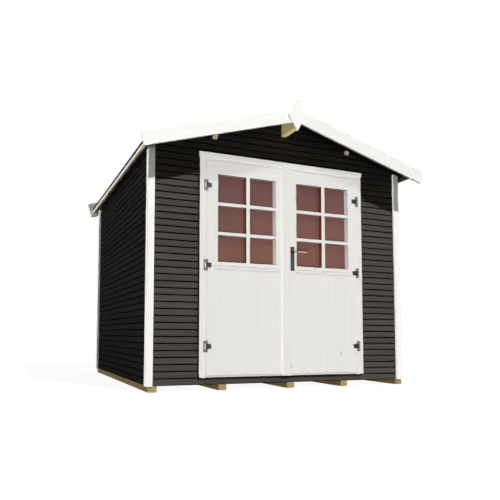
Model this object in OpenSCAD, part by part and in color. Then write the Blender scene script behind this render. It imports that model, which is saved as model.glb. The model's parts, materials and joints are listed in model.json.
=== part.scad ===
// Gabled wooden garden shed with a pair of glazed doors.
// Millimetres, +Z up, origin on the ground in the middle of the plan under the roof.
// The doors face -Y, and +X is to the right for someone facing them.

/* [Walls] */
// Outer width across the side walls
wall_width = 2420; // [2000:10:3200]
// Outer depth from the front wall to the back wall
wall_depth = 2220; // [1400:10:3600]
// Height of the side walls above the door frame
wall_over_doorway = 56; // [40:1:300]
// Thickness of the wall boards
wall_thickness = 28; // [18:1:40]
// Width of a corner board on the front or back
corner_board_width = 54; // [40:1:100]
// Width of a corner board on the side
corner_side_width = 58; // [50:1:120]
// Thickness of the corner boards
corner_board_thickness = 20; // [12:1:28]

/* [Base] */
// Width of each batten
batten_width = 70; // [45:1:100]
// Height of each batten
batten_height = 46; // [30:1:80]
// Sideways shift of the middle batten
middle_batten_shift = 47; // [-60:1:60]
// Sideways shift of the right batten
right_batten_shift = 20; // [0:1:20]
// Reach of the battens' ends past the wall faces
batten_reach = 10; // [0:1:20]
// Thickness of the floor boards
floor_thickness = 19; // [15:1:28]
// Height of the board under the doors
sill_height = 54; // [40:1:60]

/* [Roof] */
// Slope of the roof in degrees
roof_slope = 16.25; // [12:0.25:22]
// Reach of the front bargeboards before the front wall
front_overhang = 217; // [120:1:300]
// Reach of the rear bargeboards behind the back wall
rear_overhang = 167; // [120:1:300]
// Reach of the eaves past the side walls
eave_reach = 66; // [50:1:120]
// Thickness of the roof boards
roof_board_thickness = 15; // [12:1:22]
// Thickness of the roofing felt
felt_thickness = 4; // [2:0.5:6]
// Height of the felt turned down over the eaves
felt_lip_height = 18; // [10:1:30]
// Height of the fascia boards under the felt
fascia_height = 50; // [36:1:80]
// Thickness of the fascia boards
fascia_thickness = 18; // [12:1:24]
// Height of the front bargeboards
bargeboard_height = 103; // [80:1:130]
// Height of the rear bargeboards
rear_bargeboard_height = 165; // [100:1:190]
// Thickness of the bargeboards
bargeboard_thickness = 18; // [12:1:26]
// Reach of the front bargeboards past the eaves
bargeboard_reach = 40; // [10:1:80]
// Reach of the rear bargeboards past the eaves
rear_bargeboard_reach = 16; // [10:1:80]
// Rise of the front bargeboards above the felt
bargeboard_rise = 3; // [0:1:10]

/* [Purlins] */
// Width of the ridge purlin
ridge_purlin_width = 45; // [35:1:70]
// Height of the ridge purlin
ridge_purlin_height = 139; // [90:1:160]
// Width of a side purlin
side_purlin_width = 40; // [35:1:80]
// Height of the left purlin
left_purlin_height = 60; // [20:1:90]
// Height of the right purlin
right_purlin_height = 24; // [20:1:90]
// Distance of a side purlin from the ridge
side_purlin_place = 657; // [400:1:800]
// Slope of the side purlins' cut ends in degrees
purlin_end_slope = 45; // [30:1:70]

/* [Finials] */
// Width of a finial
finial_width = 154; // [100:1:200]
// Height of a finial
finial_height = 265; // [180:1:280]
// Height of the widest point above the finial's lower tip
finial_shoulder = 139; // [60:1:160]
// Depth of the finial's lower tip below the bargeboards
finial_drop = 85; // [20:1:90]
// Thickness of a finial
finial_thickness = 14; // [8:1:24]

/* [Doorway] */
// Clear width between the casing boards
doorway_width = 1474; // [1100:2:1700]
// Width of the casing boards
casing_width = 58; // [40:1:90]
// Thickness of the casing boards
casing_thickness = 20; // [14:1:28]
// Height of the casing board over the doors
casing_head_height = 23; // [20:1:36]
// Height of the header board
header_height = 36; // [24:1:60]
// Thickness of the header board
header_thickness = 24; // [16:1:32]
// Reach of the header board past the casing
header_reach = 8; // [0:1:30]
// Thickness of the door frame
frame_thickness = 28; // [20:1:40]
// Reach of the door stop into the doorway
stop_reach = 22; // [14:1:30]
// Depth of the door stop, front to back
stop_depth = 20; // [12:1:30]

/* [Doors] */
// Thickness of a door leaf
leaf_thickness = 46; // [42:1:50]
// Width of the stile along the meeting edge
meeting_stile_width = 97; // [90:1:140]
// Width of the stile along the hinges
hinge_stile_width = 89; // [80:1:140]
// Height of a leaf's lower panel, up to its window
lower_panel_height = 938; // [700:1:1100]
// Height of a window
window_height = 738; // [400:1:900]
// Sideways shift of both windows, to the right
window_shift = 8; // [0:1:10]
// Height of the rail over a window
top_rail_height = 101; // [70:1:160]
// Depth of the glass behind the leaf's face
glass_recess = 42; // [12:1:42]
// Thickness of the glass
glass_thickness = 4; // [3:0.5:6]
// Width of the strip along a leaf's meeting edge
meeting_strip_width = 36; // [20:1:40]
// Thickness of the meeting strip
meeting_strip_thickness = 8; // [4:1:14]
// Height of the moulding under a window
moulding_height = 28; // [16:1:40]
// Thickness of the moulding under a window
moulding_thickness = 12; // [6:1:20]
// Depth of the moulding's top below the window
moulding_drop = 31; // [10:1:60]
// Distance of the moulding from the meeting edge
moulding_inset = 56; // [45:1:90]

/* [Hinges] */
// Height of a hinge plate
hinge_height = 90; // [70:1:110]
// Width of the plate on the casing
hinge_plate_width = 10; // [8:1:40]
// Gap between the barrels and the plate on the casing
hinge_plate_place = 9; // [2:1:12]
// Length of the strap on the door
hinge_strap_length = 38; // [30:1:90]
// Height of the strap at its tip
hinge_strap_tip = 36; // [8:1:40]
// Thickness of the hinge leaves
hinge_thickness = 4; // [2:0.5:6]
// Diameter of the hinge pin
hinge_pin_diameter = 8; // [6:0.5:10]
// Diameter of the hinge barrels
hinge_barrel_diameter = 15; // [13:0.5:17]

/* [Handle] */
// Width of the handle plates
handle_plate_width = 38; // [28:1:48]
// Height of the handle plates
handle_plate_height = 210; // [120:1:240]
// Thickness of the handle plates
handle_plate_thickness = 3; // [2:0.5:6]
// Distance of a handle plate from the meeting strip
handle_plate_place = 6; // [2:1:12]
// Height of the spindle above the window's lower edge
spindle_rise = 121; // [80:1:200]
// Diameter of the spindle
spindle_diameter = 10; // [8:0.5:12]
// Length of the lever from the spindle
lever_length = 127; // [90:1:150]
// Diameter of the lever
lever_diameter = 14; // [10:0.5:18]
// Length of the neck between plate and lever
neck_length = 38; // [28:1:60]

/* [Hidden] */
// Gap around a closed leaf
leaf_gap = 6;
// Gap between a leaf and its hinge side casing
hinge_gap = 7;
// Gap between the two leaves
meeting_gap = 10;
// Radial clearance of a pin in its bore
pin_clearance = 0.06;
// Gap between hinge barrels along the pin
barrel_gap = 1;
// Gap between a barrel and the leaf beside it
barrel_clearance = 1.5;
// Height of the handle plates above the spindle
plate_top = 47;
// Gap between the moulding and the fittings beside it
fitting_gap = 6;
// Gap between the roof boards and what they lie on
seat_gap = 0.3;
// Overrun of every cut past the faces that it passes through
overrun = 5;
// Battens under the floor
batten_count = 5;
// Hinge heights as shares of the leaf's height
hinge_height_shares = [0.139, 0.51, 0.882];
// Share of a hinge's height taken by the strap's barrel
strap_barrel_share = 0.48;
$fn = 48;

half_width = wall_width / 2;
plan_depth = front_overhang + wall_depth + rear_overhang;
y_front = front_overhang - plan_depth / 2;
y_back = y_front + wall_depth;
y_gable_front = y_front - front_overhang;
y_gable_back = y_back + rear_overhang;
y_roof_front = y_gable_front + bargeboard_thickness;
y_roof_back = y_gable_back - bargeboard_thickness;

z_wall = batten_height;
z_sill = z_wall + sill_height;
leaf_height = lower_panel_height + window_height + top_rail_height;
leaf_base = z_sill + leaf_gap;
leaf_top = leaf_base + leaf_height;
head_base = leaf_top + leaf_gap;
gable_base = head_base + frame_thickness;
header_base = head_base + casing_head_height;
z_side_top = gable_base + wall_over_doorway;
ridge_under = z_side_top + half_width * tan(roof_slope);
eave_x = half_width + eave_reach;
roof_end_x = eave_x - fascia_thickness;
board_rise = roof_board_thickness / cos(roof_slope);
felt_rise = felt_thickness / cos(roof_slope);
ridge_seat = ridge_under + seat_gap;
ridge_top = ridge_seat + board_rise;
felt_top = ridge_top + felt_rise;
fascia_base = ridge_top - eave_x * tan(roof_slope) - fascia_height;
gable_board_top = felt_top + bargeboard_rise;
gable_board_base = gable_board_top - bargeboard_height / cos(roof_slope);
rear_board_top = gable_board_base + rear_bargeboard_height / cos(roof_slope);
gable_board_end = eave_x + bargeboard_reach;
rear_board_end = eave_x + rear_bargeboard_reach;
finial_base = gable_board_base - finial_drop;
rear_finial_lift = (rear_board_top - gable_board_top) / 2;
ridge_purlin_base = ridge_under - ridge_purlin_height;
purlin_inner = side_purlin_place - side_purlin_width / 2;
purlin_outer = side_purlin_place + side_purlin_width / 2;
purlin_seat = ridge_under - side_purlin_place * tan(roof_slope);
left_purlin_base = purlin_seat - left_purlin_height;
right_purlin_base = purlin_seat - right_purlin_height;

half_doorway = doorway_width / 2;
half_opening = half_doorway + frame_thickness;
casing_end = half_doorway + casing_width;
leaf_inner = meeting_gap / 2;
leaf_outer = half_doorway - hinge_gap;
y_leaf_front = y_front - casing_thickness;
y_leaf_back = y_leaf_front + leaf_thickness;
y_stop = y_leaf_back + leaf_gap;
y_frame_back = y_stop + stop_depth;
window_inner = leaf_inner + meeting_stile_width;
window_outer = leaf_outer - hinge_stile_width;
window_base = leaf_base + lower_panel_height;
window_top = window_base + window_height;
y_glass = y_leaf_front + glass_recess;
moulding_top = window_base - moulding_drop;

hinge_x = half_doorway - hinge_gap / 2;
barrel_radius = hinge_barrel_diameter / 2;
pin_radius = hinge_pin_diameter / 2;
y_hinge = y_leaf_front - barrel_clearance - barrel_radius;
y_hinge_leaf = y_leaf_front - hinge_thickness;
hinge_plate_start = hinge_x + barrel_radius + hinge_plate_place;
strap_barrel_height = hinge_height * strap_barrel_share;
end_barrel_height = (hinge_height - strap_barrel_height) / 2 - barrel_gap;

spindle_x = leaf_inner + meeting_strip_width + handle_plate_place + handle_plate_width / 2;
spindle_z = window_base + spindle_rise;
y_plate_front = y_leaf_front - handle_plate_thickness;
y_plate_back = y_leaf_back + handle_plate_thickness;
plate_base = spindle_z + plate_top - handle_plate_height;
spindle_radius = spindle_diameter / 2;
lever_radius = lever_diameter / 2;

// Height of the roof boards' underside at a distance from the ridge
function under(x) = ridge_under - abs(x) * tan(roof_slope);
// Height of the roof boards' top at a distance from the ridge
function top(x) = ridge_top - abs(x) * tan(roof_slope);
// Sides of a leaf's window, counted from the shed's middle
function window_ends(side) = [window_inner + side * window_shift, window_outer + side * window_shift];
// Place of a batten's middle
function batten_x(i) = (i - (batten_count - 1) / 2) * (wall_width - batten_width) / (batten_count - 1)
    + (i == (batten_count - 1) / 2 ? middle_batten_shift : 0)
    + (i == batten_count - 1 ? right_batten_shift : 0);

// Box between two corners
module slab(low, high) {
    translate(low)
        cube(high - low);
}

// Upright outline in X and Z, drawn out along Y
module outline(points, y_low, y_high) {
    translate([0, y_high, 0])
        rotate([90, 0, 0])
            linear_extrude(y_high - y_low)
                polygon(points);
}

// One side of a symmetrical pair, drawn on the right and mirrored for the left
module sided(side) {
    mirror([side < 0 ? 1 : 0, 0, 0])
        children();
}

module batten(i) {
    color("burlywood")
        slab([batten_x(i) - batten_width / 2, y_front - batten_reach, 0],
            [batten_x(i) + batten_width / 2, y_back + batten_reach, batten_height]);
}

module floor_boards() {
    color("tan")
        slab([-half_width + wall_thickness, y_front + wall_thickness, z_wall],
            [half_width - wall_thickness, y_back - wall_thickness, z_wall + floor_thickness]);
}

module front_sill() {
    color("dimgray")
        slab([-half_opening, y_front, z_wall], [half_opening, y_front + wall_thickness, z_sill]);
}

module front_wall(side) {
    color("dimgray")
        sided(side)
            slab([half_opening, y_front, z_wall], [half_width, y_front + wall_thickness, gable_base]);
}

// Wall outline under the roof from a base height up, with seats for the three purlins
function gable_points(base) = let (half = ridge_purlin_width / 2) [
    [-half_width, base], [half_width, base], [half_width, z_side_top],
    [purlin_outer, under(purlin_outer)], [purlin_outer, right_purlin_base],
    [purlin_inner, right_purlin_base], [purlin_inner, under(purlin_inner)],
    [half, under(half)], [half, ridge_purlin_base], [-half, ridge_purlin_base], [-half, under(half)],
    [-purlin_inner, under(purlin_inner)], [-purlin_inner, left_purlin_base],
    [-purlin_outer, left_purlin_base], [-purlin_outer, under(purlin_outer)], [-half_width, z_side_top]];

module front_gable() {
    color("dimgray")
        outline(gable_points(gable_base), y_front, y_front + wall_thickness);
}

module back_wall() {
    color("dimgray")
        outline(gable_points(z_wall), y_back - wall_thickness, y_back);
}

module side_wall(side) {
    inner = half_width - wall_thickness;
    color("dimgray")
        sided(side)
            outline([[inner, z_wall], [half_width, z_wall],
                [half_width, z_side_top], [inner, under(inner)]],
                y_front + wall_thickness, y_back - wall_thickness);
}

// Angled pair of boards over the front corner of one side
module corner_boards(side, face) {
    outer = half_width + corner_board_thickness;
    inner = outer - corner_board_width;
    y_face = face < 0 ? y_front : -y_back;
    color("white")
        mirror([0, face < 0 ? 0 : 1, 0])
            sided(side) {
                outline([[inner, z_wall], [outer, z_wall], [outer, under(outer)], [inner, under(inner)]],
                    y_face - corner_board_thickness, y_face);
                outline([[half_width, z_wall], [outer, z_wall],
                    [outer, under(outer)], [half_width, z_side_top]],
                    y_face - corner_board_thickness, y_face - corner_board_thickness + corner_side_width);
            }
}

module door_frame() {
    color("ivory")
        for (side = [-1, 1])
            sided(side) {
                slab([half_doorway, y_front, z_sill], [half_opening, y_frame_back, gable_base]);
                slab([half_doorway - stop_reach, y_stop, z_sill], [half_doorway, y_frame_back, gable_base]);
                slab([0, y_front, head_base], [half_doorway, y_frame_back, gable_base]);
                slab([0, y_stop, head_base - stop_reach],
                    [half_doorway - stop_reach, y_frame_back, head_base]);
            }
}

module door_casing() {
    color("white")
        for (side = [-1, 1])
            sided(side) {
                slab([half_doorway, y_leaf_front, leaf_base], [casing_end, y_front, header_base]);
                slab([0, y_leaf_front, head_base], [half_doorway, y_front, header_base]);
                slab([0, y_front - header_thickness, header_base],
                    [casing_end + header_reach, y_front, header_base + header_height]);
            }
}

// Purlin outlines, with tops that follow the roof
function ridge_purlin_points() = let (half = ridge_purlin_width / 2) [
    [-half, ridge_purlin_base], [half, ridge_purlin_base],
    [half, under(half)], [0, ridge_under], [-half, under(half)]];
function side_purlin_points(base) = [
    [purlin_inner, base], [purlin_outer, base],
    [purlin_outer, under(purlin_outer)], [purlin_inner, under(purlin_inner)]];

module ridge_purlin() {
    color("wheat")
        outline(ridge_purlin_points(), y_roof_front, y_roof_back);
}

// Wedge under a side purlin's end, from the face of the front wall forwards
module purlin_end_cut(base, reach) {
    rise = tan(purlin_end_slope);
    translate([purlin_inner - overrun, y_front, base])
        rotate([90, 0, 90])
            linear_extrude(side_purlin_width + 2 * overrun)
                polygon([[overrun, -overrun * rise], [-reach, reach * rise], [-reach, -overrun * rise]]);
}

module side_purlin(side) {
    base = side < 0 ? left_purlin_base : right_purlin_base;
    color("wheat")
        sided(side)
            difference() {
                outline(side_purlin_points(base), y_roof_front, y_roof_back);
                purlin_end_cut(base, front_overhang + overrun);
                translate([0, y_front + y_back, 0])
                    mirror([0, 1, 0])
                        purlin_end_cut(base, rear_overhang + overrun);
            }
}

module roof_boards(side) {
    color("sienna")
        sided(side)
            outline([[0, ridge_seat], [roof_end_x, under(roof_end_x) + seat_gap],
                [roof_end_x, top(roof_end_x)], [0, ridge_top]], y_roof_front, y_roof_back);
}

module fascia(side) {
    color("ivory")
        sided(side)
            outline([[roof_end_x, fascia_base], [eave_x, fascia_base], [eave_x, top(eave_x)],
                [roof_end_x, top(roof_end_x)]], y_roof_front, y_roof_back);
}

module roof_felt() {
    lip_x = eave_x + felt_thickness;
    color("darkslategray")
        outline([
            [0, ridge_top], [eave_x, top(eave_x)], [eave_x, top(eave_x) - felt_lip_height],
            [lip_x, top(eave_x) - felt_lip_height], [lip_x, felt_top - lip_x * tan(roof_slope)],
            [0, felt_top], [-lip_x, felt_top - lip_x * tan(roof_slope)],
            [-lip_x, top(eave_x) - felt_lip_height], [-eave_x, top(eave_x) - felt_lip_height],
            [-eave_x, top(eave_x)]], y_roof_front, y_roof_back);
}

// Bargeboard with its end cut square to the slope
module bargeboard(side, height, end, y_low) {
    base_end = gable_board_base - end * tan(roof_slope);
    color("white")
        sided(side)
            outline([[0, gable_board_base], [end, base_end],
                [end + height * sin(roof_slope), base_end + height * cos(roof_slope)],
                [0, gable_board_base + height / cos(roof_slope)]], y_low, y_low + bargeboard_thickness);
}

module finial(base, y_low) {
    color("white")
        outline([[0, base], [finial_width / 2, base + finial_shoulder], [0, base + finial_height],
            [-finial_width / 2, base + finial_shoulder]], y_low, y_low + finial_thickness);
}

// Barrel or pin on the hinge axis
module on_hinge(radius, base, height) {
    translate([hinge_x, y_hinge, base])
        cylinder(h = height, r = radius);
}

module hinge_plates(side) {
    color("darkgray")
        sided(side)
            for (share = hinge_height_shares) {
                base = leaf_base + leaf_height * share - hinge_height / 2;
                upper = base + hinge_height - end_barrel_height;
                slab([hinge_plate_start, y_hinge_leaf, base],
                    [hinge_plate_start + hinge_plate_width, y_leaf_front, base + hinge_height]);
                for (z = [base, upper]) {
                    on_hinge(barrel_radius, z, end_barrel_height);
                    slab([hinge_x, y_hinge, z], [hinge_plate_start, y_leaf_front, z + end_barrel_height]);
                }
                on_hinge(pin_radius, base, hinge_height);
            }
}

module hinge_straps(side) {
    color("darkgray")
        sided(side)
            for (share = hinge_height_shares) {
                middle = leaf_base + leaf_height * share;
                base = middle - strap_barrel_height / 2;
                difference() {
                    union() {
                        on_hinge(barrel_radius, base, strap_barrel_height);
                        slab([leaf_outer - hinge_gap, y_hinge, base],
                            [hinge_x, y_leaf_front, base + strap_barrel_height]);
                        outline([[leaf_outer, base], [leaf_outer, base + strap_barrel_height],
                            [leaf_outer - hinge_strap_length, middle + hinge_strap_tip / 2],
                            [leaf_outer - hinge_strap_length, middle - hinge_strap_tip / 2]],
                            y_hinge_leaf, y_leaf_front);
                    }
                    on_hinge(pin_radius + pin_clearance, base - overrun,
                        strap_barrel_height + 2 * overrun);
                }
            }
}

// Leaf of one side with its meeting strip and a moulding that starts at a given place
module leaf_body(side, moulding_start) {
    ends = window_ends(side);
    difference() {
        slab([leaf_inner, y_leaf_front, leaf_base], [leaf_outer, y_leaf_back, leaf_top]);
        slab([ends[0], y_leaf_front - overrun, window_base],
            [ends[1], y_leaf_back + overrun, window_top]);
    }
    slab([leaf_inner, y_leaf_front - meeting_strip_thickness, leaf_base],
        [leaf_inner + meeting_strip_width, y_leaf_front, leaf_top]);
    slab([moulding_start, y_leaf_front - moulding_thickness, moulding_top - moulding_height],
        [leaf_outer - hinge_strap_length - fitting_gap, y_leaf_front, moulding_top]);
}

// Round piece on the spindle's axis
module on_spindle(radius, y_low, y_high) {
    translate([spindle_x, y_high, spindle_z])
        rotate([90, 0, 0])
            cylinder(h = y_high - y_low, r = radius);
}

module left_leaf() {
    color("white")
        sided(-1)
            leaf_body(-1, leaf_inner + moulding_inset);
}

module right_leaf() {
    color("white")
        difference() {
            leaf_body(1, spindle_x + handle_plate_width / 2 + fitting_gap);
            on_spindle(spindle_radius + pin_clearance, y_leaf_front - overrun, y_leaf_back + overrun);
        }
}

module glass(side) {
    ends = window_ends(side);
    color("lightblue")
        sided(side)
            slab([ends[0], y_glass, window_base],
                [ends[1], y_glass + glass_thickness, window_top]);
}

module handle_plates() {
    color("gray")
        difference() {
            for (y = [y_plate_front, y_leaf_back])
                slab([spindle_x - handle_plate_width / 2, y, plate_base],
                    [spindle_x + handle_plate_width / 2, y + handle_plate_thickness,
                        plate_base + handle_plate_height]);
            on_spindle(spindle_radius + pin_clearance, y_plate_front - overrun, y_plate_back + overrun);
        }
}

module lever_handle() {
    y_levers = [y_plate_front - neck_length, y_plate_back + neck_length];
    color("silver") {
        on_spindle(spindle_radius, y_levers[0], y_levers[1]);
        for (y = y_levers)
            translate([spindle_x, y, spindle_z]) {
                sphere(r = lever_radius);
                rotate([0, 90, 0])
                    cylinder(h = lever_length - lever_radius, r = lever_radius);
                translate([lever_length - lever_radius, 0, 0])
                    sphere(r = lever_radius);
            }
    }
}

batten(0);  // batten_1
batten(1);  // batten_2
batten(2);  // batten_3
batten(3);  // batten_4
batten(4);  // batten_5
floor_boards();  // floor
front_sill();
front_wall(-1);  // front_wall_left
front_wall(1);  // front_wall_right
front_gable();
side_wall(-1);  // left_wall
side_wall(1);  // right_wall
back_wall();
corner_boards(-1, -1);  // front_left_corner_boards
corner_boards(1, -1);  // front_right_corner_boards
corner_boards(-1, 1);  // back_left_corner_boards
corner_boards(1, 1);  // back_right_corner_boards
door_frame();
door_casing();
ridge_purlin();
side_purlin(-1);  // left_purlin
side_purlin(1);  // right_purlin
roof_boards(-1);  // left_roof_boards
roof_boards(1);  // right_roof_boards
fascia(-1);  // left_fascia
fascia(1);  // right_fascia
roof_felt();
bargeboard(-1, bargeboard_height, gable_board_end, y_gable_front);  // front_left_bargeboard
bargeboard(1, bargeboard_height, gable_board_end, y_gable_front);  // front_right_bargeboard
bargeboard(-1, rear_bargeboard_height, rear_board_end, y_roof_back);  // back_left_bargeboard
bargeboard(1, rear_bargeboard_height, rear_board_end, y_roof_back);  // back_right_bargeboard
finial(finial_base, y_gable_front - finial_thickness);  // front_finial
finial(finial_base + rear_finial_lift, y_gable_back);  // back_finial
hinge_plates(-1);  // left_hinge_plates
hinge_plates(1);  // right_hinge_plates
left_leaf();
glass(-1);  // left_glass
hinge_straps(-1);  // left_hinge_straps
right_leaf();
glass(1);  // right_glass
hinge_straps(1);  // right_hinge_straps
handle_plates();
lever_handle();
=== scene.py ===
"""Looks of a gabled wooden garden shed: dark grooved boards, white trim and doors, felt roof."""

import json
import math
import random

import bmesh
import bpy
from mathutils import Matrix, Vector

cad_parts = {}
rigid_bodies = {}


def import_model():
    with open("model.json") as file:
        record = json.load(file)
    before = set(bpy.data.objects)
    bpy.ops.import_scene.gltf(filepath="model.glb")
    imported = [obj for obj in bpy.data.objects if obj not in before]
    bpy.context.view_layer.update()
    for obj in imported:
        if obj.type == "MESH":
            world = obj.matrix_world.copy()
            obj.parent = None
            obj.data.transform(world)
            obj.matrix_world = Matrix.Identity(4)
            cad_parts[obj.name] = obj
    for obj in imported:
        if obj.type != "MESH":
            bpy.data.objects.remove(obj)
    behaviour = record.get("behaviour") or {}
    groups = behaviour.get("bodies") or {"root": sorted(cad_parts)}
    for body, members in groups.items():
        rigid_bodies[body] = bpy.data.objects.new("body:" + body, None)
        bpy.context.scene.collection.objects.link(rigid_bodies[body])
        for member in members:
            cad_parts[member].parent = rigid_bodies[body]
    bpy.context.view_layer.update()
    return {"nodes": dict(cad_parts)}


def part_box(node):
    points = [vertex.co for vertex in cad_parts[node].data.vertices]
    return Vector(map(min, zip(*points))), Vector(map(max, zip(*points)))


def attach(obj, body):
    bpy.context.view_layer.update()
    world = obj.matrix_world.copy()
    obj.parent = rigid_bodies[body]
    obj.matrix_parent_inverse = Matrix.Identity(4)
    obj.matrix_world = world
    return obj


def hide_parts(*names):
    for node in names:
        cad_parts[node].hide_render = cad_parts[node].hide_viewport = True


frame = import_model()
nodes = frame["nodes"]
chance = random.Random(11)

# Wall boards, in metres
BOARD_PITCH = 0.055
GROOVE_HEIGHT = 0.0095
GROOVE_DEPTH = 0.009

# All boards: their chamfer, the gap beside each, and how near two points are to be one
EDGE = 0.002
JOINT = 0.0001
WELD = 0.00001

# Roof and floor boards
ROOF_BOARD_WIDTH = 0.096
FLOOR_BOARD_WIDTH = 0.0984
FELT_COURSES = 3
FELT_LAP = 0.08
FELT_SHEET = 0.003
FELT_STEP = 0.001
RIDGE_SHEET_REACH = 0.16

# Door leaves
PLANKS = 6
PLANK_EDGE = 0.0006
FOOT_STRIP = 0.018
FOOT_EDGE = 0.003
STILE_EDGE = 0.0015
MEETING_STRIP_WIDTH = 0.036
MEETING_STRIP_THICKNESS = 0.008

# How far a leaf's boards reach into the gaps round the CAD leaf, to make joints as thin as the photo's
HEAD_RISE = 0.0033
SIDE_REACH = 0.003
MEETING_REACH = 0.0025

# Windows in the leaves: the bars, with the cross bars at shares of the height, the bead and the putty
BAR_WIDTH = 0.035
BAR_SHIFT = 0.0045
CROSS_BAR_HEIGHT = 0.027
CROSS_BAR_SHARES = (0.319, 0.653)
BAR_SETBACK = 0.001
REAR_BAR_DEPTH = 0.006
HEAD_BEAD = 0.008
PUTTY_WIDTH = 0.008
PUTTY_DEPTH = 0.022

# Moulding under the windows: shares of its reach out of the leaf, and heights over its foot
MOULDING_OUTLINE = ((0, 0), (0.9, 0.0002), (0.45, 0.004), (0.5, 0.0125), (0.8, 0.0145), (0.8, 0.0235),
                    (0.2, 0.028), (0, 0.028))

# Lever handle
LEVER_ROOT = 0.0085
LEVER_TIP = 0.006
LEVER_DROOP = 0.003
# A dark ring near the arm's root is painted shade at the lever's elbow: where it starts and ends along the
# arm, and how far it stands out
ELBOW_SHADE_RING = (0.021, 0.030)
ELBOW_SHADE_RIM = 0.0002
LEVER_STEPS = 12
ROSE_RADIUS = 0.013
ROSE_DEPTH = 0.006
RING = 20
SHARP_ANGLE = math.radians(40)

# Shares of the lever's sizes: its ends, its depth to its height, and the rose's straight side and rim
ARM_END = 0.6
ARM_DEPTH = 0.8
ROSE_SIDE = 0.6
ROSE_RIM = 0.8

# Shares of half the CAD bar's height: the neck, its wider end, the length of that, and the spindle
NECK_RADIUS = 0.8
NECK_END_RADIUS = 0.9
NECK_END_LENGTH = 0.5
SPINDLE_RADIUS = 0.5

# Wood: marks to the metre along and across the grain, the streaks' share, where marks fade in and out,
# the change of polish, how far the grain is shifted from board to board, and the relief under paint
STREAKS = (2.2, 55)
FIBRES = (9, 420)
KNOTS = (3.4, 8.5)
STREAK_SHARE = 0.65
GRAIN_FADE = (0.34, 0.66)
KNOT_FADE = (0.05, 0.13)
WOOD_POLISH = 0.06
GRAIN_SHIFT = 40
PAINT_DEPTH = 0.0003

# Faces that look in, out and down: the values between which another colour fades in, carrying painted
# shade and painted light
FACING_IN = (-0.2, -0.1)
FACING_OUT = (0.1, 0.2)
FACING_DOWN = (-0.6, -0.4)

# Felt: marks to the metre, where they fade in and out, the tones they reach, and the finish
GRANULES = 700
FELT_DRIFT = 3
GRANULE_FADE = (0.36, 0.64)
GRANULE_TONES = (0.62, 1.5)
GRANULE_DEPTH = 0.0012
FELT_WEAR = 0.35
WORN_TONE = 0.75
FELT_ROUGHNESS = 0.95
FELT_SPECULAR = 0.1

# Metal: brush marks to the metre along and across, patches to the metre, the tones and the polish
BRUSHING = (6, 220)
PATCHES = 60
BRUSHED_TONES = (0.82, 1.15)
BRUSHING_DEPTH = 0.0001
METAL_POLISH = 0.08

# Panes: drift and waves to the metre, the tones they reach, and the finish
PANE_DRIFT = 2.5
PANE_TONES = (0.94, 1.06)
PANE_WAVES = 9
WAVE_DEPTH = 0.0004
PANE_ROUGHNESS = 0.06
PANE_SPECULAR = 0.35
PANE_ALPHA = 0.9

# Where a slow drift and a change of polish fade in and out, and how rough all noise is
DRIFT_FADE = (0.35, 0.65)
POLISH_FADE = (0.3, 0.7)
NOISE_ROUGHNESS = 0.55

# Camera fitted to the photograph, which is 500 pixels wide
PHOTO = 500
FOCAL_PX = 512.80
CENTRE_PX = (194.41, 298.70)
CAMERA_PLACE = (-2.2644, -4.9406, 0.4499)
CAMERA_YAW = 0.3562
CAMERA_PITCH = 0.0693
CAMERA_ROLL = 0.0063
SENSOR = 36.0

# Light: the way each lamp's rays go, its strength, its spread in degrees, and its colour unless white
SUN = ((-0.43, 1.0, -1.204), 3.95, 2.0)
DOOR_SUN = ((0.71, 1.0, -1.376), 0.95, 3.0)
DOOR_LIGHT = ((0.45, 0.85, 0.38), 2.65, 10.0)
TRIM_LIGHT = ((0.92, 0.16, 0.0), 2.5, 20.0)
PURLIN_LIGHT = ((0.45, 0.3, 0.84), 3.2, 20.0)
WALL_LIGHT = ((0.7, 0.2, -0.75), 0.24, 8.0, (0.65, 0.95, 1.25))
BATTEN_LIGHT = ((0.9, 0.1, 0.4), 0.6, 20.0)
BACK_LIGHT = ((-0.6, -0.8, -0.5), 2.2, 40.0)
WORLD_STRENGTH = 0.115

# Studio floor: its half size, what shows to the eye, what takes the shadow, and what light it sends back
GROUND = 40.0
GROUND_GLOW = 0.94
GROUND_SHADOW = 0.07
GROUND_BOUNCE = 0.15

# Sizes read from the frame
wall_low, wall_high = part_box("front_wall_left")
front_y, wall_base, gable_base = wall_low.y, wall_low.z, wall_high.z
half_width, opening = -wall_low.x, -wall_high.x
wall_thickness = wall_high.y - wall_low.y
back_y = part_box("back_wall")[1].y
roof_low, roof_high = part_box("right_roof_boards")
ridge_under = min(v.co.z for v in nodes["right_roof_boards"].data.vertices if v.co.x < JOINT)
slope = (ridge_under - roof_low.z) / roof_high.x
slope_angle = math.atan(slope)
board_rise = roof_high.z - ridge_under


def srgb(red, green, blue):
    """Colour written as the photograph shows it, from 0 to 255, as linear light by the sRGB curve."""
    return tuple(
        (c / 255 / 12.92) if c < 11 else ((c / 255 + 0.055) / 1.055) ** 2.4
        for c in (red, green, blue)
    )


# Materials


def new_material(name):
    """Material, its node tree and its Principled shader."""
    material = bpy.data.materials.new(name)
    material.use_nodes = True
    tree = material.node_tree
    return material, tree, tree.nodes["Principled BSDF"]


def math_node(tree, operation, first, second):
    """Sum or other operation on two values, each given as a number or as a socket."""
    node = tree.nodes.new("ShaderNodeMath")
    node.operation = operation
    for socket, value in zip(node.inputs, (first, second)):
        if isinstance(value, (int, float)):
            socket.default_value = value
        else:
            tree.links.new(value, socket)
    return node.outputs[0]


def grain_coordinates(tree, grain):
    """Coordinates in metres whose X runs along the grain: a mesh's own, an axis, or the roof's slope."""
    source = tree.nodes.new("ShaderNodeTexCoord")
    if grain == "uv":
        return source.outputs["UV"]
    turned = tree.nodes.new("ShaderNodeMapping")
    turned.inputs["Rotation"].default_value = {
        "x": (0, 0, 0),
        "y": (0, 0, -math.pi / 2),
        "z": (0, math.pi / 2, 0),
        "left_slope": (0, slope_angle, 0),
        "right_slope": (0, -slope_angle, 0),
    }[grain]
    tree.links.new(source.outputs["Object"], turned.inputs["Vector"])
    return turned.outputs["Vector"]


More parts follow.
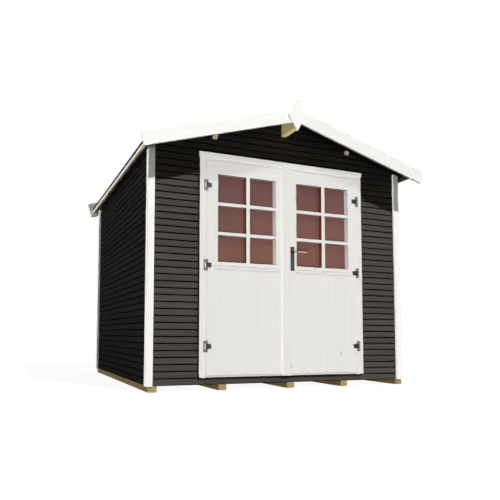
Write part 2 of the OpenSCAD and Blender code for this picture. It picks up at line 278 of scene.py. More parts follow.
def stretched(tree, vector, along, across):
    """Coordinates scaled along the grain and across it."""
    node = tree.nodes.new("ShaderNodeMapping")
    node.inputs["Scale"].default_value = (along, across, across)
    tree.links.new(vector, node.inputs["Vector"])
    return node.outputs["Vector"]


def noise(tree, vector, detail=3.0, scale=1.0):
    node = tree.nodes.new("ShaderNodeTexNoise")
    node.inputs["Scale"].default_value = scale
    node.inputs["Detail"].default_value = detail
    node.inputs["Roughness"].default_value = NOISE_ROUGHNESS
    tree.links.new(vector, node.inputs["Vector"])
    return node.outputs["Fac"]


def limits(tree, value, low, high, to_low=0.0, to_high=1.0):
    """Value moved from one range to another, and held inside it."""
    node = tree.nodes.new("ShaderNodeMapRange")
    node.inputs["From Min"].default_value = low
    node.inputs["From Max"].default_value = high
    node.inputs["To Min"].default_value = to_low
    node.inputs["To Max"].default_value = to_high
    tree.links.new(value, node.inputs["Value"])
    return node.outputs["Result"]


def mix(tree, factor, first, second):
    """Colour between two colours, each given as numbers or as a socket."""
    node = tree.nodes.new("ShaderNodeMix")
    node.data_type = "RGBA"
    tree.links.new(factor, node.inputs["Factor"])
    for socket, value in ((node.inputs["A"], first), (node.inputs["B"], second)):
        if isinstance(value, tuple):
            socket.default_value = (*value, 1.0)
        else:
            tree.links.new(value, socket)
    return node.outputs["Result"]


def shaded(colour, factor):
    return tuple(min(1.0, c * factor) for c in colour)


def relief(tree, shader, height, depth):
    node = tree.nodes.new("ShaderNodeBump")
    node.inputs["Distance"].default_value = depth
    tree.links.new(height, node.inputs["Height"])
    tree.links.new(node.outputs["Normal"], shader.inputs["Normal"])


def wood(name, colour, grain="uv", fade=0.15, tone=0.1, knots=0.0, knot_colour=(90, 62, 38),
         roughness=0.65, specular=0.2, depth=0.0006, inside=None, outside=None, under=None):
    """Wood, bare or painted: streaks and fibres along the grain, a tone for each board, and knots.

    inside and outside are colours for the edges that look to the shed's middle plane and away from it,
    under is one for the edges that look down."""
    material, tree, shader = new_material(name)
    vector = grain_coordinates(tree, grain)
    streaks = noise(tree, stretched(tree, vector, *STREAKS), detail=4)
    fibres = noise(tree, stretched(tree, vector, *FIBRES), detail=2)
    both = math_node(tree, "ADD", math_node(tree, "MULTIPLY", streaks, STREAK_SHARE),
                     math_node(tree, "MULTIPLY", fibres, 1 - STREAK_SHARE))
    paint = mix(tree, limits(tree, both, *GRAIN_FADE),
                shaded(colour, 1 - fade), shaded(colour, 1 + fade / 2))
    if knots:
        spots = tree.nodes.new("ShaderNodeTexVoronoi")
        spots.inputs["Scale"].default_value = 1.0
        tree.links.new(stretched(tree, vector, *KNOTS), spots.inputs["Vector"])
        near = limits(tree, spots.outputs["Distance"], *KNOT_FADE, knots, 0.0)
        paint = mix(tree, near, paint, srgb(*knot_colour))
    # The inside, outside and under colours are painted shade and painted light on these edges
    if inside or outside or under:
        facing = tree.nodes.new("ShaderNodeNewGeometry")
        place = tree.nodes.new("ShaderNodeSeparateXYZ")
        normal = tree.nodes.new("ShaderNodeSeparateXYZ")
        tree.links.new(facing.outputs["Position"], place.inputs["Vector"])
        tree.links.new(facing.outputs["True Normal"], normal.inputs["Vector"])
        outward = math_node(tree, "MULTIPLY", place.outputs["X"], normal.outputs["X"])
        if inside:
            paint = mix(tree, limits(tree, outward, *FACING_IN, 1.0, 0.0), paint, srgb(*inside))
        if outside:
            paint = mix(tree, limits(tree, outward, *FACING_OUT), paint, srgb(*outside))
        if under:
            down = limits(tree, normal.outputs["Z"], *FACING_DOWN, 1.0, 0.0)
            paint = mix(tree, down, paint, srgb(*under))
    board = tree.nodes.new("ShaderNodeAttribute")
    board.attribute_name = "tone"
    tint = tree.nodes.new("ShaderNodeHueSaturation")
    tree.links.new(limits(tree, board.outputs["Fac"], -1, 1, 1 - tone, 1 + tone), tint.inputs["Value"])
    tree.links.new(paint, tint.inputs["Color"])
    tree.links.new(tint.outputs["Color"], shader.inputs["Base Color"])
    polish = limits(tree, streaks, *POLISH_FADE, roughness - WOOD_POLISH, roughness + WOOD_POLISH)
    tree.links.new(polish, shader.inputs["Roughness"])
    shader.inputs["Specular IOR Level"].default_value = specular
    relief(tree, shader, both, depth)
    return material


def painted(name, colour, grain="uv", fade=0.03, roughness=0.5, **other):
    """Wood under a thin, smooth coat of paint or stain."""
    return wood(name, colour, grain, fade=fade, roughness=roughness, depth=PAINT_DEPTH, **other)


def felt(name, colour):
    """Roofing felt with mineral granules and a slow drift of tone."""
    material, tree, shader = new_material(name)
    vector = grain_coordinates(tree, "x")
    granules = noise(tree, vector, detail=2, scale=GRANULES)
    drift = noise(tree, vector, detail=3, scale=FELT_DRIFT)
    dark, light = (shaded(colour, tone) for tone in GRANULE_TONES)
    speckled = mix(tree, limits(tree, granules, *GRANULE_FADE), dark, light)
    wear = limits(tree, drift, *DRIFT_FADE, 0.0, FELT_WEAR)
    worn = mix(tree, wear, speckled, shaded(colour, WORN_TONE))
    tree.links.new(worn, shader.inputs["Base Color"])
    shader.inputs["Roughness"].default_value = FELT_ROUGHNESS
    shader.inputs["Specular IOR Level"].default_value = FELT_SPECULAR
    relief(tree, shader, granules, GRANULE_DEPTH)
    return material


def metal(name, colour, roughness):
    """Metal with fine brushing and small changes of polish."""
    material, tree, shader = new_material(name)
    vector = grain_coordinates(tree, "z")
    brushing = noise(tree, stretched(tree, vector, *BRUSHING), detail=3)
    patches = noise(tree, vector, detail=3, scale=PATCHES)
    dark, light = (shaded(colour, tone) for tone in BRUSHED_TONES)
    finish = mix(tree, limits(tree, brushing, *POLISH_FADE), dark, light)
    tree.links.new(finish, shader.inputs["Base Color"])
    shader.inputs["Metallic"].default_value = 1.0
    polish = limits(tree, patches, *POLISH_FADE, roughness - METAL_POLISH, roughness + METAL_POLISH)
    tree.links.new(polish, shader.inputs["Roughness"])
    relief(tree, shader, brushing, BRUSHING_DEPTH)
    return material


def pane(name, high_colour, low_colour):
    """Window pane: tinted, warmer towards its foot, slightly uneven, and a little see-through."""
    material, tree, shader = new_material(name)
    vector = grain_coordinates(tree, "z")
    drift = noise(tree, vector, detail=2, scale=PANE_DRIFT)
    place = tree.nodes.new("ShaderNodeSeparateXYZ")
    tree.links.new(tree.nodes["Texture Coordinate"].outputs["Object"], place.inputs["Vector"])
    foot, head = (corner.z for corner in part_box("left_glass"))
    height = limits(tree, place.outputs["Z"], foot, head)
    dark, light = (mix(tree, height, shaded(low_colour, tone), shaded(high_colour, tone))
                   for tone in PANE_TONES)
    tinted = mix(tree, limits(tree, drift, *DRIFT_FADE), dark, light)
    tree.links.new(tinted, shader.inputs["Base Color"])
    shader.inputs["Roughness"].default_value = PANE_ROUGHNESS
    shader.inputs["Specular IOR Level"].default_value = PANE_SPECULAR
    shader.inputs["Alpha"].default_value = PANE_ALPHA
    relief(tree, shader, noise(tree, vector, detail=1, scale=PANE_WAVES), WAVE_DEPTH)
    return material


WHITE = srgb(242, 241, 235)
DOOR_WHITE = srgb(231, 229, 225)

dark_boards = wood("dark_boards", srgb(82, 78, 73), fade=0.22, tone=0.09, roughness=0.8, specular=0.0,
                   depth=0.001)
# Near-black colour on the faces of the grooves: painted shade in the grooves between the boards
groove_shade = wood("groove_shade", srgb(27, 25, 23), fade=0.22, roughness=0.85, specular=0.0,
                    depth=0.001)
raw_pine = wood("raw_pine", srgb(205, 176, 126), fade=0.2, tone=0.12, knots=0.7, specular=0.1)
roof_pine = wood("roof_pine", srgb(170, 155, 128), fade=0.2, tone=0.12, knots=0.6, specular=0.1)
# Near-black for the roof boards over the front overhang: painted shade under the overhang
overhang_shade = wood("overhang_shade", srgb(48, 44, 36), fade=0.2, roughness=0.85, specular=0.0)
door_paint = painted("door_paint", DOOR_WHITE, fade=0.035, tone=0.012, knots=0.3,
                     knot_colour=(168, 160, 146))
bar_stain = painted("bar_stain", srgb(106, 56, 16), fade=0.2, roughness=0.6)
# Light grey for painted shade on the foot strip, on the stiles' sides beside the windows and on a line in
# the moulding
edge_shade = painted("edge_shade", srgb(212, 208, 203), fade=0.035)
# Brownish grey for painted shade on the undersides of the bead over each window and of the cross bars
underside_shade = painted("underside_shade", srgb(158, 138, 128), fade=0.06, roughness=0.6)
# A whiter white than the doors': painted light on the faces in the joints round the leaves and on the door
# frame behind them
gap_painted_light = painted("gap_painted_light", srgb(251, 249, 245), fade=0.02)
# Grey putty in the window rebates, also used on the moulding's underside as painted shade
putty_and_shade = wood("putty_and_shade", srgb(190, 185, 178), fade=0.04, roughness=0.7, specular=0.1, depth=0.0005)
white_upright = painted("white_upright", WHITE, "z")
white_left = painted("white_left", WHITE, "left_slope")
# The right bargeboards take a lighter white than the other trim: painted light for the trim lamp they do
# not get
white_right_painted_light = painted("white_right_painted_light", srgb(250, 249, 243), "right_slope")
# Cream fascias whose inner faces, towards the walls, take a near-black: painted shade under the eaves
fascia_cream_and_inner_shade = wood("fascia_cream_and_inner_shade", srgb(226, 219, 200), "y", fade=0.06, roughness=0.6,
                    inside=(40, 37, 31))
# The casing's edges towards the doorway and facing down are near white, painted light in the joints; its
# outer edges are near-black, painted shade beside it
casing_light_and_shade = painted("casing_light_and_shade", DOOR_WHITE, "z", inside=(252, 250, 246), outside=(40, 38, 35),
                       under=(252, 250, 246))
pine_beams = wood("pine_beams", srgb(180, 155, 98), "y", fade=0.22, knots=0.75, specular=0.1,
                  depth=0.001)
purlin_pine = wood("purlin_pine", srgb(205, 184, 132), "y", fade=0.2, knots=0.5, specular=0.1,
                   depth=0.001)
grey_pine = wood("grey_pine", srgb(176, 168, 140), "y", fade=0.2, knots=0.5, specular=0.1, depth=0.001)
roof_felt = felt("roof_felt", srgb(52, 52, 51))
hinge_metal = metal("hinge_metal", srgb(125, 124, 122), 0.45)
strap_metal = metal("strap_metal", srgb(70, 69, 67), 0.45)
plate_metal = metal("plate_metal", srgb(75, 77, 81), 0.4)
# Dark metal of the rose and neck, also used on the ring that is painted shade at the lever's elbow
neck_and_elbow_shade_metal = metal("neck_and_elbow_shade_metal", srgb(45, 45, 46), 0.4)
lever_metal = metal("lever_metal", srgb(168, 158, 150), 0.35)
window_pane = pane("window_pane", srgb(110, 71, 69), srgb(126, 84, 69))


# Boards


class Boards:
    """Boards gathered into one mesh: grain coordinates, a tone for each board, a slot for each face."""

    def __init__(self):
        self.points = []
        self.faces = []
        self.grain = []
        self.tones = []
        self.slots = []

    def face(self, points, grain, slot, tone):
        start = len(self.points)
        self.points += points
        self.faces.append(list(range(start, start + len(points))))
        self.grain += grain
        self.slots.append(slot)
        self.tones.append(tone)

    def drawn(self, profile, place, span, slots=0, end_slot=0):
        """Draws a closed outline of points (a, b) out between the two ends that span(a, b) gives.

        place(a, b, along) is where a point of it lies."""
        tone = chance.uniform(-1, 1)
        shift, across = chance.uniform(0, GRAIN_SHIFT), chance.uniform(0, GRAIN_SHIFT)
        if isinstance(slots, int):
            slots = [slots] * len(profile)
        for p, q, slot in zip(profile, profile[1:] + profile[:1], slots):
            start_p, end_p = span(*p)
            start_q, end_q = span(*q)
            width = math.dist(p, q)
            self.face(
                [place(*p, start_p), place(*q, start_q), place(*q, end_q), place(*p, end_p)],
                [(start_p + shift, across), (start_q + shift, across + width),
                 (end_q + shift, across + width), (end_p + shift, across)],
                slot, tone)
            across += width
        for end in (0, 1):
            self.face([place(*p, span(*p)[end]) for p in profile],
                      [(a + shift, b + across) for a, b in profile], end_slot, tone)

    def plank(self, low, high, along, edge=EDGE, slots=0):
        """Straight board between two corners, its grain along an axis and its long edges chamfered."""
        a, b = [axis for axis in range(3) if axis != along]

        def place(first, second, length):
            point = [0.0, 0.0, 0.0]
            point[a], point[b], point[along] = first, second, length
            return Vector(point)

        self.drawn(chamfered(low[a], low[b], high[a], high[b], edge), place,
                   lambda first, second: (low[along], high[along]), slots)

    def piece(self, name, materials, body, slot, *replaced):
        mesh = bpy.data.meshes.new(name)
        mesh.from_pydata(self.points, [], self.faces)
        for material in materials:
            mesh.materials.append(material)
        mesh.polygons.foreach_set("material_index", self.slots)
        mesh.uv_layers.new(name="grain").data.foreach_set("uv", [c for uv in self.grain for c in uv])
        mesh.attributes.new("tone", "FLOAT", "FACE").data.foreach_set("value", self.tones)
        shape = bmesh.new()
        shape.from_mesh(mesh)
        bmesh.ops.remove_doubles(shape, verts=shape.verts, dist=WELD)
        bmesh.ops.recalc_face_normals(shape, faces=shape.faces)
        shape.to_mesh(mesh)
        shape.free()
        place_piece(name, mesh, body, slot, *replaced)


def place_piece(name, mesh, body, slot, *replaced):
    """Puts a mesh in the scene as a piece that rides on a body and stands in for CAD nodes."""
    piece = bpy.data.objects.new(name, mesh)
    bpy.context.scene.collection.objects.link(piece)
    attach(piece, body)
    if replaced:
        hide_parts(*replaced)


def chamfered(low_a, low_b, high_a, high_b, edge):
    """Outline of a rectangle with its corners cut off."""
    return [(low_a + edge, low_b), (high_a - edge, low_b), (high_a, low_b + edge),
            (high_a, high_b - edge), (high_a - edge, high_b), (low_a + edge, high_b),
            (low_a, high_b - edge), (low_a, low_b + edge)]


# Walls

PAINTED, BARE, GROOVE = range(3)
WALL_PAINTS = [dark_boards, raw_pine, groove_shade]
# The groove faces of each board take the painted groove shade
BOARD_SLOTS = [GROOVE] * 2 + [PAINTED] * 3 + [GROOVE] * 2 + [BARE] * 5


def board_outline(low, high, upper_groove=GROOVE_HEIGHT / 2):
    """Outline of a wall board: depth behind its face and height, with half a groove at each edge."""
    groove = GROOVE_HEIGHT / 2
    low, high = low + JOINT, high - JOINT
    return [
        (GROOVE_DEPTH, low), (GROOVE_DEPTH, low + groove),
        (EDGE, low + groove), (0, low + groove + EDGE),
        (0, high - upper_groove - EDGE), (EDGE, high - upper_groove),
        (GROOVE_DEPTH, high - upper_groove), (GROOVE_DEPTH, high),
        (wall_thickness - EDGE, high), (wall_thickness, high - EDGE),
        (wall_thickness, low + EDGE), (wall_thickness - EDGE, low)]


def courses(base, top):
    """Lower and upper edge of each board from the wall's foot up to a height."""
    low = wall_base
    while low < top - GROOVE_HEIGHT - 2 * EDGE:
        high = min(low + BOARD_PITCH, top)
        if high > base + GROOVE_HEIGHT:
            yield low, high
        low += BOARD_PITCH


def under_roof(depth, height):
    """Ends of a gable board where the roof cuts it."""
    end = min(half_width, (ridge_under - height) / slope)
    return -end, end


def at_front(depth, height, along):
    return Vector((along, front_y + depth, height))


def at_back(depth, height, along):
    return Vector((along, back_y - depth, height))


def boarded(name, base, top, place, span, node):
    """Boards of one wall, from the course at its base up to its top."""
    boards = Boards()
    for low, high in courses(base, top):
        boards.drawn(board_outline(low, high), place, span, BOARD_SLOTS)
    boards.piece(name, WALL_PAINTS, "shed", "dark_boards", node)


def walls():
    side_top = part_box("left_wall")[1].z - slope * wall_thickness
    side_span = (front_y + wall_thickness, back_y - wall_thickness)
    boarded("front_boards_left", wall_base, gable_base, at_front, lambda d, z: (-half_width, -opening),
            "front_wall_left")
    boarded("front_boards_right", wall_base, gable_base, at_front, lambda d, z: (opening, half_width),
            "front_wall_right")
    boarded("gable_boards", gable_base, ridge_under, at_front, under_roof, "front_gable")
    boarded("back_boards", wall_base, ridge_under, at_back, under_roof, "back_wall")
    boarded("left_boards", wall_base, side_top, lambda d, z, t: Vector((d - half_width, t, z)),
            lambda d, z: side_span, "left_wall")
    boarded("right_boards", wall_base, side_top, lambda d, z, t: Vector((half_width - d, t, z)),
            lambda d, z: side_span, "right_wall")
    sill_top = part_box("front_sill")[1].z
    sill = Boards()
    sill.drawn(board_outline(wall_base, sill_top, JOINT), at_front, lambda d, z: (-opening, opening),
               BOARD_SLOTS)
    sill.piece("sill_board", WALL_PAINTS, "shed", "dark_boards", "front_sill")


# Floor and roof

ALONG_X, ALONG_Z = 0, 2
INDOORS, OVERHANG = range(2)


def floor_boards():
    low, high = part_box("floor")
    boards = Boards()
    y = low.y
    while y < high.y - EDGE:
        end = min(y + FLOOR_BOARD_WIDTH, high.y)
        boards.plank((low.x, y + JOINT, low.z), (high.x, end - JOINT, high.z), ALONG_X)
        y = end
    boards.piece("floor_planks", [raw_pine], "shed", "pine", "floor")


def on_roof(side, level):
    """Place on one slope: a is along Y, b is height over its plane, and along is the way down."""
    def place(a, b, along):
        return Vector((side * along, a, level - slope * along + b))
    return place


def roof_boards(side, name, node):
    low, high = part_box(node)
    reach = max(abs(low.x), abs(high.x))
    boards = Boards()
    y = low.y
    while y < high.y - EDGE:
        end = min(y + ROOF_BOARD_WIDTH, high.y)
        outline = chamfered(y + JOINT, 0, end - JOINT, board_rise, EDGE)
        # Boards in front of the front wall take the overhang's painted shade
        boards.drawn(outline, on_roof(side, ridge_under), lambda a, b: (0, reach),
                     OVERHANG if y < front_y else INDOORS)
        y = end
    boards.piece(name, [roof_pine, overhang_shade], "shed", "pine", node)


def felt_sheets():
    """Courses of felt that lap down each slope, a sheet over the ridge, and the lips over the eaves."""
    low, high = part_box("roof_felt")
    reach = high.x
    top = ridge_under + board_rise
    course = (reach + FELT_LAP * (FELT_COURSES - 1)) / FELT_COURSES
    sheets = Boards()
    for side in (-1, 1):
        def place(along, height, y, side=side):
            return Vector((side * along, y, top - slope * along + height))

        def sheet(outline):
            sheets.drawn(outline, place, lambda along, height: (low.y, high.y))

        for i in range(FELT_COURSES):
            start = i * (course - FELT_LAP)
            end = min(start + course, reach)
            lift = (FELT_COURSES - 1 - i) * FELT_STEP
            sheet([(start, 0), (end, lift), (end, lift + FELT_SHEET), (start, FELT_SHEET)])
        lip = reach - FELT_SHEET
        sheet([(lip, low.z - (top - slope * lip)), (reach, low.z - (top - slope * reach)),
               (reach, FELT_SHEET / 2), (lip, FELT_SHEET / 2)])
        sheet([(0, FELT_SHEET), (RIDGE_SHEET_REACH, FELT_SHEET), (RIDGE_SHEET_REACH, 2 * FELT_SHEET),
               (0, 2 * FELT_SHEET)])
    sheets.piece("felt_sheets", [roof_felt], "shed", "felt", "roof_felt")


# Doors

DOOR_PAINT, BAR_STAIN, EDGE_SHADE, UNDERSIDE_SHADE, PUTTY_AND_SHADE, GAP_PAINTED_LIGHT = range(6)
# Undersides take the painted underside shade
UNDERSIDE_SLOTS = [UNDERSIDE_SHADE] + [DOOR_PAINT] * 7
# The moulding's underside takes the putty grey as painted shade, and one of its slopes the edge's painted
# shade
MOULDING_SLOTS = [PUTTY_AND_SHADE] + [DOOR_PAINT] * 2 + [EDGE_SHADE] + [DOOR_PAINT] * 4
VERTICAL_BAR_SLOTS = ([DOOR_PAINT] * 2 + [BAR_STAIN] * 2) * 2
DOOR_PAINTS = [door_paint, bar_stain, edge_shade, underside_shade, putty_and_shade, gap_painted_light]


def door(side, name):
    """One leaf: planked lower panel, stiles, rails, meeting strip, moulding and window bars."""
    leaf_low, leaf_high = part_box(name + "_leaf")
    glass_low, glass_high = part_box(name + "_glass")
    corners = [v.co for v in nodes[name + "_leaf"].data.vertices]
    inner, outer = sorted((abs(leaf_low.x), abs(leaf_high.x)))
    window_in, window_out = sorted((abs(glass_low.x), abs(glass_high.x)))
    front = min(c.y for c in corners if abs(c.x) > outer - JOINT)
    back = leaf_high.y
    outer += SIDE_REACH
    inner -= MEETING_REACH
    foot, head = leaf_low.z, leaf_high.z + HEAD_RISE
    sill, lintel = glass_low.z, glass_high.z
    boards = Boards()

    def plank(x_low, x_high, y_low, y_high, z_low, z_high, along, edge=STILE_EDGE, slots=DOOR_PAINT):
        """Board between distances from the doors' joint, depths and heights."""
        x_ends = sorted((side * x_low, side * x_high))
        boards.plank((x_ends[0], y_low, z_low), (x_ends[1], y_high, z_high), along, edge, slots)

    def side_slots(inner_side, outer_side):
        """Slots of an upright board whose sides to the doors' joint and to the hinges differ."""
        low_side, high_side = (inner_side, outer_side)[::side]
        return [DOOR_PAINT] * 2 + [high_side] + [DOOR_PAINT] * 3 + [low_side, DOOR_PAINT]

    # Faces in the joints take the gap's painted light, and the stiles' sides at the windows the edge's
    # painted shade
    width = (outer - inner) / PLANKS
    for i in range(PLANKS):
        plank(inner + i * width + JOINT, inner + (i + 1) * width - JOINT, front, back,
              foot + FOOT_STRIP + JOINT, sill - JOINT, ALONG_Z, PLANK_EDGE,
              side_slots(GAP_PAINTED_LIGHT, GAP_PAINTED_LIGHT))
    # The foot strip takes the edge's painted shade
    plank(inner, outer, front, back, foot, foot + FOOT_STRIP - JOINT, ALONG_X, FOOT_EDGE, EDGE_SHADE)
    plank(inner, window_in, front, back, sill, head, ALONG_Z, slots=side_slots(GAP_PAINTED_LIGHT, EDGE_SHADE))
    plank(window_out, outer, front, back, sill, head, ALONG_Z, slots=side_slots(EDGE_SHADE, GAP_PAINTED_LIGHT))
    bead = lintel - HEAD_BEAD
    plank(window_in + JOINT, window_out - JOINT, front, glass_low.y - JOINT, bead, head, ALONG_X,
          slots=UNDERSIDE_SLOTS)
    plank(window_in + JOINT, window_out - JOINT, glass_low.y, back, lintel, head, ALONG_X)
    for edge, way in ((window_in, 1), (window_out, -1)):
        pane_x, frame_x = side * (edge + way * PUTTY_WIDTH), side * edge
        boards.drawn([(frame_x, glass_low.y - PUTTY_DEPTH), (frame_x, glass_low.y - JOINT),
                      (pane_x, glass_low.y - JOINT)],
                     lambda x, y, z: Vector((x, y, z)), lambda x, y: (sill, bead), PUTTY_AND_SHADE)
    plank(inner, inner + MEETING_STRIP_WIDTH, front - MEETING_STRIP_THICKNESS, front - JOINT, foot, head,
          ALONG_Z, EDGE, side_slots(GAP_PAINTED_LIGHT, GAP_PAINTED_LIGHT))

    middle = (window_in + window_out) / 2 + side * BAR_SHIFT
    bar_in, bar_out = middle - BAR_WIDTH / 2, middle + BAR_WIDTH / 2
    for y_low, y_high, top in ((front + BAR_SETBACK, glass_low.y - JOINT, bead),
                               (glass_high.y + JOINT, back + REAR_BAR_DEPTH, lintel)):
        plank(bar_in, bar_out, y_low, y_high, sill, top, ALONG_Z, PLANK_EDGE, VERTICAL_BAR_SLOTS)
        for share in CROSS_BAR_SHARES:
            low = sill + share * (lintel - sill) - CROSS_BAR_HEIGHT / 2
            for x_low, x_high in ((window_in, bar_in), (bar_out, window_out)):
                plank(x_low + JOINT, x_high - JOINT, y_low, y_high, low, low + CROSS_BAR_HEIGHT, ALONG_X,
                      PLANK_EDGE, UNDERSIDE_SLOTS)

    proud = [c for c in corners if c.y < leaf_low.y + JOINT]
    ends = min(c.x for c in proud), max(c.x for c in proud)
    base, reach = min(c.z for c in proud), front - leaf_low.y
    boards.drawn([(front - reach * out, base + up) for out, up in MOULDING_OUTLINE],
                 lambda y, z, x: Vector((x, y, z)), lambda y, z: ends, MOULDING_SLOTS)
    boards.piece(name + "_door_boards", DOOR_PAINTS, name + "_door", "white_wood", name + "_leaf")


# Lever handle


class Turned:
    """Round shapes gathered into one mesh, each a row of rings."""

    def __init__(self):
        self.shape = bmesh.new()

    def rings(self, rows, slot=0):
        """Skin over rows of centre, half width each way across, and the two ways across."""
        made = []
        for centre, first, second, way_a, way_b in rows:
            turns = [2 * math.pi * i / RING for i in range(RING)]
            made.append([self.shape.verts.new(
                centre + way_a * first * math.cos(turn) + way_b * second * math.sin(turn))
                for turn in turns])
        for one, two in zip(made, made[1:]):
            for i in range(RING):
                j = (i + 1) % RING
                self.shape.faces.new((one[i], one[j], two[j], two[i])).material_index = slot
        for end in (made[0], made[-1]):
            self.shape.faces.new(end).material_index = slot

    def piece(self, name, materials, body, slot, *replaced):
        bmesh.ops.recalc_face_normals(self.shape, faces=self.shape.faces)
        mesh = bpy.data.meshes.new(name)
        self.shape.to_mesh(mesh)
        self.shape.free()
        for material in materials:
            mesh.materials.append(material)
        mesh.shade_smooth()
        mesh.set_sharp_from_angle(angle=SHARP_ANGLE)
        place_piece(name, mesh, body, slot, *replaced)


X, Y, Z = Vector((1, 0, 0)), Vector((0, 1, 0)), Vector((0, 0, 1))
ARM, NECK = range(2)


def lever():
    """Lever on each face of the right leaf: rose, dark neck, and an arm that tapers and droops."""
    low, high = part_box("lever_handle")
    plate_low, plate_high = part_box("handle_plates")
    bar = (high.z - low.z) / 2
    x, z = low.x + bar, low.z + bar
    shape = Turned()
    for plate_y, arm_y in ((plate_low.y, low.y + bar), (plate_high.y, high.y - bar)):
        out = math.copysign(1, arm_y - plate_y)
        neck_end = abs(arm_y - plate_y)
        rose = [(0, ROSE_RADIUS), (ROSE_SIDE * ROSE_DEPTH, ROSE_RADIUS),
                (ROSE_DEPTH, ROSE_RIM * ROSE_RADIUS)]
        neck = [(ROSE_DEPTH, NECK_RADIUS * bar), (neck_end - NECK_END_LENGTH * bar, NECK_RADIUS * bar),
                (neck_end, NECK_END_RADIUS * bar)]
        for rows in (rose, neck):
            shape.rings([(Vector((x, plate_y + out * along, z)), r, r, X, Z) for along, r in rows], NECK)
        arm = []
        for i in range(LEVER_STEPS + 1):
            share = i / LEVER_STEPS
            size = LEVER_ROOT + (LEVER_TIP - LEVER_ROOT) * share
            if i in (0, LEVER_STEPS):
                size *= ARM_END
            along = low.x + (high.x - low.x) * share
            centre = Vector((along, arm_y, z - LEVER_DROOP * share ** 2))
            arm.append((centre, ARM_DEPTH * size, size, Y, Z))
        shape.rings(arm, ARM)
        # Dark ring round the arm's root: painted shade at the elbow
        elbow_shade = LEVER_ROOT + ELBOW_SHADE_RIM
        shape.rings([(Vector((x + along, arm_y, z)), elbow_shade, elbow_shade, Y, Z) for along in ELBOW_SHADE_RING],
                    NECK)
    spindle = SPINDLE_RADIUS * bar
    shape.rings([(Vector((x, y, z)), spindle, spindle, X, Z) for y in (plate_low.y, plate_high.y)], NECK)
    shape.piece("lever_arms", [lever_metal, neck_and_elbow_shade_metal], "door_handle", "handle_metal", "lever_handle")


# Finish of the CAD nodes that stay

BATTENS = [name for name in nodes if name.startswith("batten")]


def nodes_ending(*endings):
    return [name for name in nodes if name.endswith(endings)]


def finish_nodes():
    finishes = {
        white_upright: nodes_ending("corner_boards", "finial"),
        white_left: nodes_ending("left_bargeboard"),
        white_right_painted_light: nodes_ending("right_bargeboard"),
        casing_light_and_shade: ["door_casing"],
        gap_painted_light: ["door_frame"],
        fascia_cream_and_inner_shade: nodes_ending("fascia"),
        pine_beams: BATTENS,
        purlin_pine: ["ridge_purlin"],
        grey_pine: ["left_purlin", "right_purlin"],
        window_pane: nodes_ending("glass"),
        hinge_metal: nodes_ending("hinge_plates"),
        strap_metal: nodes_ending("hinge_straps"),
        plate_metal: ["handle_plates"],
    }
    for material, names in finishes.items():
        for name in names:
            for slot in nodes[name].material_slots:
                slot.material = material


# Light, floor and camera


def white_to_eye(tree):
    """One for rays that show a surface to the eye, also in metal or glass, and zero for the rest."""
    path = tree.nodes.new("ShaderNodeLightPath")
    seen = math_node(tree, "MAXIMUM", path.outputs["Is Camera Ray"], path.outputs["Is Glossy Ray"])
    return math_node(tree, "MAXIMUM", seen, path.outputs["Is Transmission Ray"])


def world():
    """White all round to the eye, and a weak even light to the shed."""
    surroundings = bpy.data.worlds.new("surroundings")
    surroundings.use_nodes = True
    tree = surroundings.node_tree
    background = tree.nodes["Background"]
    background.inputs["Color"].default_value = (1, 1, 1, 1)
    strength = limits(tree, white_to_eye(tree), 0, 1, WORLD_STRENGTH, 1)
    tree.links.new(strength, background.inputs["Strength"])
    bpy.context.scene.world = surroundings


def ground():
    """Pale floor that takes a faint shadow, and lets through the lamps that shine from below."""
    mesh = bpy.data.meshes.new("floor")
    mesh.from_pydata([(a * GROUND, b * GROUND, 0) for a, b in ((-1, -1), (1, -1), (1, 1), (-1, 1))],
                     [], [(0, 1, 2, 3)])
    floor = bpy.data.objects.new("studio_floor", mesh)
    bpy.context.scene.collection.objects.link(floor)
    material = bpy.data.materials.new("studio_floor")
    material.use_nodes = True
    tree = material.node_tree
    tree.nodes.remove(tree.nodes["Principled BSDF"])
    glow = tree.nodes.new("ShaderNodeEmission")
    glow.inputs["Strength"].default_value = GROUND_GLOW
    faint = tree.nodes.new("ShaderNodeBsdfDiffuse")
    faint.inputs["Color"].default_value = (*[GROUND_SHADOW] * 3, 1)
    plain = tree.nodes.new("ShaderNodeBsdfDiffuse")
    plain.inputs["Color"].default_value = (*[GROUND_BOUNCE] * 3, 1)
    shown = tree.nodes.new("ShaderNodeAddShader")
    choice = tree.nodes.new("ShaderNodeMixShader")
    tree.links.new(glow.outputs[0], shown.inputs[0])
    tree.links.new(faint.outputs[0], shown.inputs[1])
    tree.links.new(white_to_eye(tree), choice.inputs["Fac"])
    tree.links.new(plain.outputs[0], choice.inputs[1])
    tree.links.new(shown.outputs[0], choice.inputs[2])
    tree.links.new(choice.outputs[0], tree.nodes["Material Output"].inputs["Surface"])
    mesh.materials.append(material)
    floor.visible_shadow = False


def lamp(name, ray, strength, angle, colour=(1, 1, 1), pieces=()):
    """Distant lamp that lights the pieces alone, or everything where none is named."""
    light = bpy.data.lights.new(name, "SUN")
    light.energy = strength
    light.angle = math.radians(angle)
    light.color = colour
    holder = bpy.data.objects.new(name, light)
    holder.rotation_euler = Vector(ray).to_track_quat("-Z", "Y").to_euler()
    bpy.context.scene.collection.objects.link(holder)
    if pieces:
        group = bpy.data.collections.new(name + "_pieces")
        for piece in pieces:
            group.objects.link(piece)
        holder.light_linking.receiver_collection = group


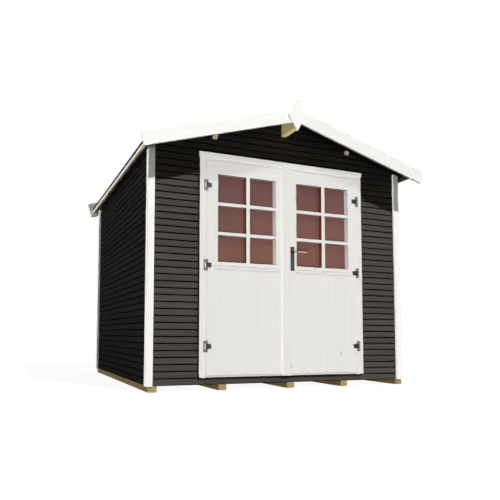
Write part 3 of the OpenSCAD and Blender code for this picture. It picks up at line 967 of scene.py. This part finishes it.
def lamps():
    """Sun from the front and right, lamps of their own for some pieces, and a soft lamp behind."""
    made = bpy.data.objects
    doorway = [made[name] for name in (
        "left_door_boards", "right_door_boards", "left_glass", "right_glass", "door_frame", "door_casing")]
    trim = [nodes[name] for name in nodes_ending("corner_boards", "left_bargeboard", "finial", "fascia")]
    purlins = [nodes[name] for name in nodes_ending("purlin")]
    battens = [nodes[name] for name in BATTENS]
    in_shade = [nodes["back_left_bargeboard"], nodes["back_right_bargeboard"]]
    sunlit = [piece for piece in bpy.context.scene.objects
              if piece.type == "MESH" and piece not in doorway + in_shade]
    lamp("sun", *SUN, pieces=sunlit)
    lamp("door_sun", *DOOR_SUN, pieces=doorway)
    lamp("door_light", *DOOR_LIGHT, pieces=doorway)
    lamp("trim_light", *TRIM_LIGHT, pieces=trim)
    lamp("purlin_light", *PURLIN_LIGHT, pieces=purlins)
    lamp("batten_light", *BATTEN_LIGHT, pieces=battens)
    lamp("wall_light", *WALL_LIGHT, pieces=[made["left_boards"]])
    lamp("back_light", *BACK_LIGHT)
    # The tree of lamps mixes up lamps that share some of their pieces, so each is asked in turn instead
    bpy.context.scene.cycles.use_light_tree = False


def camera():
    """Camera of the photograph, its shift taking up the photograph's own framing."""
    forward = Vector((math.sin(CAMERA_YAW) * math.cos(CAMERA_PITCH),
                      math.cos(CAMERA_YAW) * math.cos(CAMERA_PITCH), math.sin(CAMERA_PITCH)))
    level = Vector((math.cos(CAMERA_YAW), -math.sin(CAMERA_YAW), 0))
    upright = level.cross(forward)
    right = level * math.cos(CAMERA_ROLL) + upright * math.sin(CAMERA_ROLL)
    up = upright * math.cos(CAMERA_ROLL) - level * math.sin(CAMERA_ROLL)
    lens = bpy.data.cameras.new("camera")
    lens.sensor_fit = "HORIZONTAL"
    lens.sensor_width = SENSOR
    lens.lens = FOCAL_PX / PHOTO * SENSOR
    lens.shift_x = 0.5 - CENTRE_PX[0] / PHOTO
    lens.shift_y = CENTRE_PX[1] / PHOTO - 0.5
    holder = bpy.data.objects.new("camera", lens)
    turn = Matrix((right, up, -forward)).transposed().to_4x4()
    holder.matrix_world = Matrix.Translation(CAMERA_PLACE) @ turn
    bpy.context.scene.collection.objects.link(holder)
    bpy.context.scene.camera = holder


walls()
floor_boards()
roof_boards(-1, "roof_planks_left", "left_roof_boards")
roof_boards(1, "roof_planks_right", "right_roof_boards")
felt_sheets()
door(-1, "left")
door(1, "right")
lever()
finish_nodes()
world()
ground()
lamps()
camera()
bpy.context.scene.view_settings.view_transform = "Standard"
